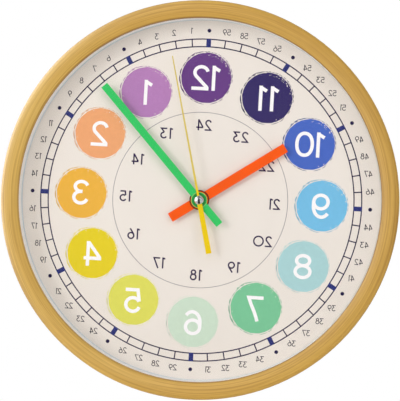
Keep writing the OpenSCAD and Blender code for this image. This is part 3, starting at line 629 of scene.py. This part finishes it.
DISC_R, DISC_AT = 19.2, 92.6
DISC_COLOURS = {
    12: (104, 61, 133), 1: (182, 128, 186), 2: (240, 168, 116), 3: (238, 180, 66), 4: (231, 208, 32),
    5: (224, 222, 96), 6: (206, 226, 206), 7: (124, 200, 155), 8: (172, 213, 216), 9: (118, 192, 232),
    10: (72, 104, 196), 11: (52, 40, 101),
}
# how far each printed disc sits from its even place, right and up
DISC_SLIP = {
    12: (-0.21, 0.63), 1: (0.72, -0.27), 2: (0.9, 0.47), 3: (1.53, 0.28), 4: (-0.05, 0.98),
    5: (-0.27, 1.2), 6: (-0.05, -0.44), 7: (0.92, 0.61), 8: (1.11, 0.42), 9: (0.2, 0.65),
    10: (0.76, 0.42), 11: (0.65, 0.08),
}
# how far its numeral sits from the disc's centre
NUMERAL_SLIP = {
    12: (0, 0), 1: (0.3, 0), 2: (-0.3, -0.2), 3: (-0.7, 0.55), 4: (0.4, -0.2), 5: (-0.45, -0.6),
    6: (0, -0.55), 7: (-0.9, -0.4), 8: (-0.3, 0), 9: (-0.9, -0.1), 10: (0.5, 0), 11: (0, -0.4),
}
# arcs round a disc: reach as a share of its radius, from and to in degrees, width, longest run in
# degrees, and the share that is drawn
STAMP_ARCS = (
    (1.042, 98, 256, 0.62, 26, 0.95), (1.07, 112, 206, 0.78, 22, 0.9), (1.075, 204, 250, 0.45, 14, 0.8),
    (1.052, 252, 304, 0.52, 18, 0.85), (1.030, 306, 392, 0.5, 12, 0.75), (1.04, 38, 92, 0.55, 12, 0.8),
)
# the arcs' ink against the disc's: how dark, and how well it covers the card
ARC_INK = {
    12: (0.72, 0.85), 1: (0.88, 0.75), 2: (0.9, 0.65), 3: (0.92, 0.75), 4: (0.97, 0.55), 5: (0.97, 0.4),
    6: (0.97, 0.45), 7: (0.84, 0.75), 8: (0.95, 0.6), 9: (0.86, 0.75), 10: (0.62, 0.85),
    11: (0.62, 0.85),
}
# how many of the bare spots each disc shows
FLECK_SHARE = {
    12: 1, 1: 0.6, 2: 0.5, 3: 0.35, 4: 0.3, 5: 0, 6: 0, 7: 0.4, 8: 0, 9: 0.6, 10: 0.8, 11: 1,
}


def arc_colour(hour):
    """The disc's colour, darkened and then thinned towards the card."""
    shade, cover = ARC_INK[hour]
    pairs = zip(DISC_COLOURS[hour], CARD_RGB)
    return lin(*(cover * shade * c + (1 - cover) * p for c, p in pairs))


# points round a disc's edge, how far it waves in mm, how often, and how the quick waves fade
EDGE_STEPS, EDGE_WAVE = 240, 0.16
EDGE_COUNTS, EDGE_FADE = (3, 5, 8, 13, 21, 34, 55), 0.35


def rough_disc(layer, at, rng):
    """A stamped blot: a nearly round field."""
    waves = [(k, rng.uniform(-1, 1), rng.uniform(0, 6.28)) for k in EDGE_COUNTS]
    edge = []
    for i in range(EDGE_STEPS):
        a = 2 * math.pi * i / EDGE_STEPS
        r = DISC_R + EDGE_WAVE * sum(w * math.sin(k * a + p) / (k ** EDGE_FADE) for k, w, p in waves)
        edge.append(around(at, r, a))
    layer.shape(edge)


# a run's shortest length as a share of the longest, and the least and most of the gap after it
ARC_SHORTEST, ARC_GAPS = 0.3, (0.4, 2.2)
# by how much its width, its reach and its bend from end to end in mm vary
ARC_WIDTHS, ARC_REACH, ARC_BEND = (0.6, 1.15), 0.006, 0.2
# the width at its ends, against what is added to it at the middle
ARC_TIP = 0.35


def stamp_arcs(layer, at, rng):
    """Broken lines outside a disc, thinner towards their ends."""
    for reach, a0, a1, wide, longest, cover in STAMP_ARCS:
        a = a0
        while a < a1:
            run = rng.uniform(ARC_SHORTEST, 1) * longest
            if rng.random() < cover:
                w = wide * rng.uniform(*ARC_WIDTHS)
                r = DISC_R * (reach + rng.uniform(-ARC_REACH, ARC_REACH))
                bend = rng.uniform(-ARC_BEND, ARC_BEND)
                steps = max(3, int(run / 2))
                out, back = [], []
                for k in range(steps + 1):
                    t = k / steps
                    half = 0.5 * w * (ARC_TIP + math.sin(math.pi * t)) / (1 + ARC_TIP)
                    q = math.radians(a + run * t)
                    rr = r + bend * (t - 0.5)
                    out.append(around(at, rr + half, q))
                    back.append(around(at, rr - half, q))
                layer.shape(out + back[::-1])
            a += run + rng.uniform(*ARC_GAPS)


# the bare spots lie about an angle in degrees: their spread, their share of the radius, their count
FLECK_MIDDLE, FLECK_CORNERS = 42, 9
FLECK_FIELDS = ((18, 0.93, 16), (60, 0.975, 14))
# length along the edge and width across it, as shares of a spot's size in mm
FLECK_LONG, FLECK_WIDE = 1.5, 0.7
FLECK_SIZES = (0.14, 0.46)
# how far in and out a spot may lie, as shares of the radius, and how uneven its outline is
FLECK_SCATTER, FLECK_UNEVEN = (-0.05, 0.03), (0.6, 1.2)


def flecks(layer, at, rng, drawn):
    """Bare spots where the stamp missed, mostly near the upper right, longer along the edge."""
    for spread, share, count in FLECK_FIELDS:
        for _ in range(round(count * drawn)):
            a = math.radians(rng.gauss(FLECK_MIDDLE, spread))
            r = DISC_R * (share + rng.uniform(*FLECK_SCATTER))
            size = rng.uniform(*FLECK_SIZES)
            x, y = around(at, r, a)
            points = []
            for k in range(FLECK_CORNERS):
                q = 2 * math.pi * k / FLECK_CORNERS
                d = size * rng.uniform(*FLECK_UNEVEN)
                along, over = d * FLECK_LONG * math.cos(q), d * FLECK_WIDE * math.sin(q)
                points.append((x - along * math.sin(a) + over * math.cos(a),
                               y + along * math.cos(a) + over * math.sin(a)))
            layer.shape(points)


EDGE_SEED, ARC_SEED, FLECK_SEED = 7, 5, 11
FLECK_RISE = 0.01
DISC_FADE, DISC_GRAIN = 0.05, 420
bare = Layer(LEVEL_2, LEVEL_2 + FLECK_RISE)
figures = Layer(LEVEL_2, LEVEL_3)
for hour in range(1, 13):
    at = tuple(a + b for a, b in zip(on_dial(hour / 12, DISC_AT), DISC_SLIP[hour]))
    disc = Layer(LEVEL_1, LEVEL_2)
    rough_disc(disc, at, random.Random(EDGE_SEED))
    disc_ink = ink(f"disc_ink_{hour}", lin(*DISC_COLOURS[hour]), DISC_FADE, DISC_GRAIN)
    disc.finish(f"disc_{hour}", disc_ink)
    arcs = Layer(LEVEL_1, LEVEL_2)
    stamp_arcs(arcs, at, random.Random(ARC_SEED))
    arc_ink = ink(f"arc_ink_{hour}", arc_colour(hour), DISC_FADE, DISC_GRAIN)
    arcs.finish(f"disc_arcs_{hour}", arc_ink)
    flecks(bare, at, random.Random(FLECK_SEED), FLECK_SHARE[hour])
    place = tuple(a + b for a, b in zip(at, NUMERAL_SLIP[hour]))
    number(figures, str(hour), bold_digit, place, *HOUR_NUMERALS)
bare.finish("stamp_flecks", CARD)
figures.finish("hour_numerals", WHITE)

# painted shade and a painted highlight on the hand hubs, as thin rings: name, body, slot, radii, levels,
# paint
HUB_PAINTED_LIGHT = (
    # painted shade round the hour hub's edge, under the minute hub
    ("hour_hub_painted_shade", "hour", "orange_paint", 6.75, 7.55, 27.38, 27.93,
     paint("hub_shade_brown", lin(50, 30, 20), 0.5)),
    # painted shade on the minute hub round the cap
    ("minute_hub_shade", "minute", "green_paint", 3.0, 5.5, 29.99, 30.02,
     paint("hub_green_shade", lin(40, 150, 70), 0.5)),
    # painted highlight on the minute hub's edge
    ("minute_hub_painted_highlight", "minute", "green_paint", 5.6, 6.1, 29.99, 30.03,
     paint("hub_highlight_lime", lin(150, 214, 110), 0.4)),
)
HUB_STEPS = 96
for name, body, slot, r_in, r_out, low, high, material in HUB_PAINTED_LIGHT:
    layer = Layer(low, high)
    layer.band(ring(r_out, HUB_STEPS), ring(r_in, HUB_STEPS))
    layer.finish(name, material, body)


# stage, lights and camera
def sheet_mesh(name, corners, material, cuts=0):
    """A flat four-cornered sheet of the stage."""
    bm = bmesh.new()
    bm.faces.new([bm.verts.new(c) for c in corners])
    if cuts:
        bmesh.ops.subdivide_edges(bm, edges=bm.edges, cuts=cuts, use_grid_fill=True)
    mesh = bpy.data.meshes.new(name)
    bm.to_mesh(mesh)
    bm.free()
    obj = place_mesh(name, mesh, material)
    return obj


floor = Mat("floor_paint")
tone = floor.ramp(floor.noise(3, 4), (0.3, lin(236, 235, 233)), (0.7, lin(242, 241, 239)))
floor.put(tone, "Base Color")
floor.put(floor.ramp(floor.noise(12, 3), (0.3, 0.6), (0.7, 0.75)), "Roughness")
floor.bump(floor.noise(400, 3), 0.1, 0.0002)
FLOOR_Z, FLOOR_HALF, FLOOR_NEAR, FLOOR_FAR = -0.2, 1.4, -1.3, 0.2
FLOOR_CUTS = 6
FLOOR_CORNERS = [(-FLOOR_HALF, FLOOR_NEAR, FLOOR_Z), (FLOOR_HALF, FLOOR_NEAR, FLOOR_Z),
                 (FLOOR_HALF, FLOOR_FAR, FLOOR_Z), (-FLOOR_HALF, FLOOR_FAR, FLOOR_Z)]
sheet_mesh("floor", FLOOR_CORNERS, floor.mat, FLOOR_CUTS)

# the camera sees plain white, and the clock is lit by a dimmer warm white
SKY_LIGHT, SKY_STRENGTH = (1.0, 0.985, 0.965, 1), 0.46
sky = bpy.data.worlds.new("studio")
scene.world = sky
sky.use_nodes = True
nodes, links = sky.node_tree.nodes, sky.node_tree.links
nodes.clear()
seen, lit = nodes.new("ShaderNodeBackground"), nodes.new("ShaderNodeBackground")
seen.inputs[0].default_value = (1, 1, 1, 1)
lit.inputs[0].default_value = SKY_LIGHT
lit.inputs[1].default_value = SKY_STRENGTH
path = nodes.new("ShaderNodeLightPath")
pick = nodes.new("ShaderNodeMixShader")
links.new(path.outputs["Is Camera Ray"], pick.inputs[0])
links.new(lit.outputs[0], pick.inputs[1])
links.new(seen.outputs[0], pick.inputs[2])
links.new(pick.outputs[0], nodes.new("ShaderNodeOutputWorld").inputs[0])

# soft boxes, all aimed at the middle of the clock: place, size, power, colour
WHITE_LIGHT, COOL_LIGHT = (1, 1, 1), (0.93, 0.96, 1.0)
SOFTBOXES = (
    ("softbox_front", (0.1, -2.4, 0.4), (1.8, 1.5), 7.4, WHITE_LIGHT),
    ("softbox_left", (-1.35, -1.5, 0.35), (0.8, 1.1), 11.9, WHITE_LIGHT),
    ("softbox_top", (0.1, -1.7, 1.2), (1.3, 0.9), 4.1, WHITE_LIGHT),
    ("softbox_right", (1.45, -1.55, 0.45), (0.7, 1.2), 5.1, WHITE_LIGHT),
    ("softbox_low", (-0.1, -1.9, -0.95), (1.6, 0.7), 4.8, COOL_LIGHT),
    ("softbox_rear", (0.6, 1.9, 0.9), (1.6, 1.2), 16, WHITE_LIGHT),
)
for name, place, size, power, colour in SOFTBOXES:
    data = bpy.data.lights.new(name, "AREA")
    data.shape = "RECTANGLE"
    data.size, data.size_y = size
    data.energy = power
    data.color = colour
    obj = bpy.data.objects.new(name, data)
    scene.collection.objects.link(obj)
    obj.location = place
    obj.rotation_euler = (-Vector(place)).to_track_quat("-Z", "Y").to_euler()


def gloss_only(obj):
    """Hides a sheet from all but reflections."""
    obj.visible_camera = obj.visible_diffuse = obj.visible_shadow = obj.visible_transmission = False


# a dark flag, met only by gloss: the dark streak in the chrome cap
flag = Mat("flag_cloth")
flag.put(flag.ramp(flag.noise(20, 3), (0.3, lin(14, 14, 18)), (0.7, lin(26, 26, 30))), "Base Color")
flag.put(flag.ramp(flag.noise(40, 2), (0.3, 0.8), (0.7, 0.95)), "Roughness")
flag.bump(flag.noise(300, 2), 0.2, 0.001)
# the flag is an arch overhead: height, distance behind the clock and half width of each rib
FLAG_RIBS = (
    (-0.19, -0.05, 0.06), (-0.19, -1.35, 0.50), (1.2, -1.35, 0.30), (1.9, -0.6, 0.22), (1.9, 0.1, 0.16),
)
for i, ((z0, y0, half0), (z1, y1, half1)) in enumerate(zip(FLAG_RIBS, FLAG_RIBS[1:])):
    corners = [(-half0, y0, z0), (half0, y0, z0), (half1, y1, z1), (-half1, y1, z1)]
    gloss_only(sheet_mesh(f"flag_{i + 1}", corners, flag.mat))

# white cards at both sides, met only by gloss: distance to the side, near and far end, glow
GLOSS_CARDS = (
    ("left", -1.0, -1.6, -0.5, 1.5), ("left_rear", -1.0, -0.5, 0.6, 8.5), ("right", 1.1, -1.7, -0.9, 0.7),
)
CARD_LOW, CARD_HIGH = -1.3, 1.1
for side, x, near, far, glow in GLOSS_CARDS:
    white = Mat(f"white_card_{side}")
    tone = white.ramp(white.noise(6, 2), (0.3, lin(246, 246, 248)), (0.7, lin(255, 255, 255)))
    white.put(tone, "Emission Color")
    white.set(Base_Color=(0, 0, 0, 1), Emission_Strength=glow)
    corners = [(x, near, CARD_LOW), (x, far, CARD_LOW), (x, far, CARD_HIGH), (x, near, CARD_HIGH)]
    gloss_only(sheet_mesh(f"white_card_{side}", corners, white.mat))

# the photograph's view: angles in degrees, lengths in metres, and image places in its pixels
YAW, PITCH, ROLL = 4.59, 0.2, 3.24
DISTANCE = 1.102
FOCAL_PX = 1455
AIM = Vector((0, -0.030, 0))
WIDE, TALL = 400, 401
CENTRE_X, CENTRE_Y = 199.1, 200.05
cam = bpy.data.cameras.new("camera")
cam.sensor_width = 36
cam.lens = FOCAL_PX / TALL * cam.sensor_width
cam.shift_x = (WIDE / 2 - CENTRE_X) / TALL
cam.shift_y = (CENTRE_Y - TALL / 2) / TALL
cam.clip_start, cam.clip_end = 0.05, 20
eye = bpy.data.objects.new("camera", cam)
scene.collection.objects.link(eye)
yaw, pitch = math.radians(YAW), math.radians(PITCH)
back = Vector((math.sin(yaw) * math.cos(pitch), -math.cos(yaw) * math.cos(pitch), math.sin(pitch)))
level = (-back).to_track_quat("-Z", "Y").to_matrix().to_4x4()
turn = level @ Matrix.Rotation(math.radians(ROLL), 4, "Z")
eye.matrix_world = Matrix.Translation(AIM + back * DISTANCE) @ turn
scene.camera = eye
scene.view_settings.view_transform = "Standard"
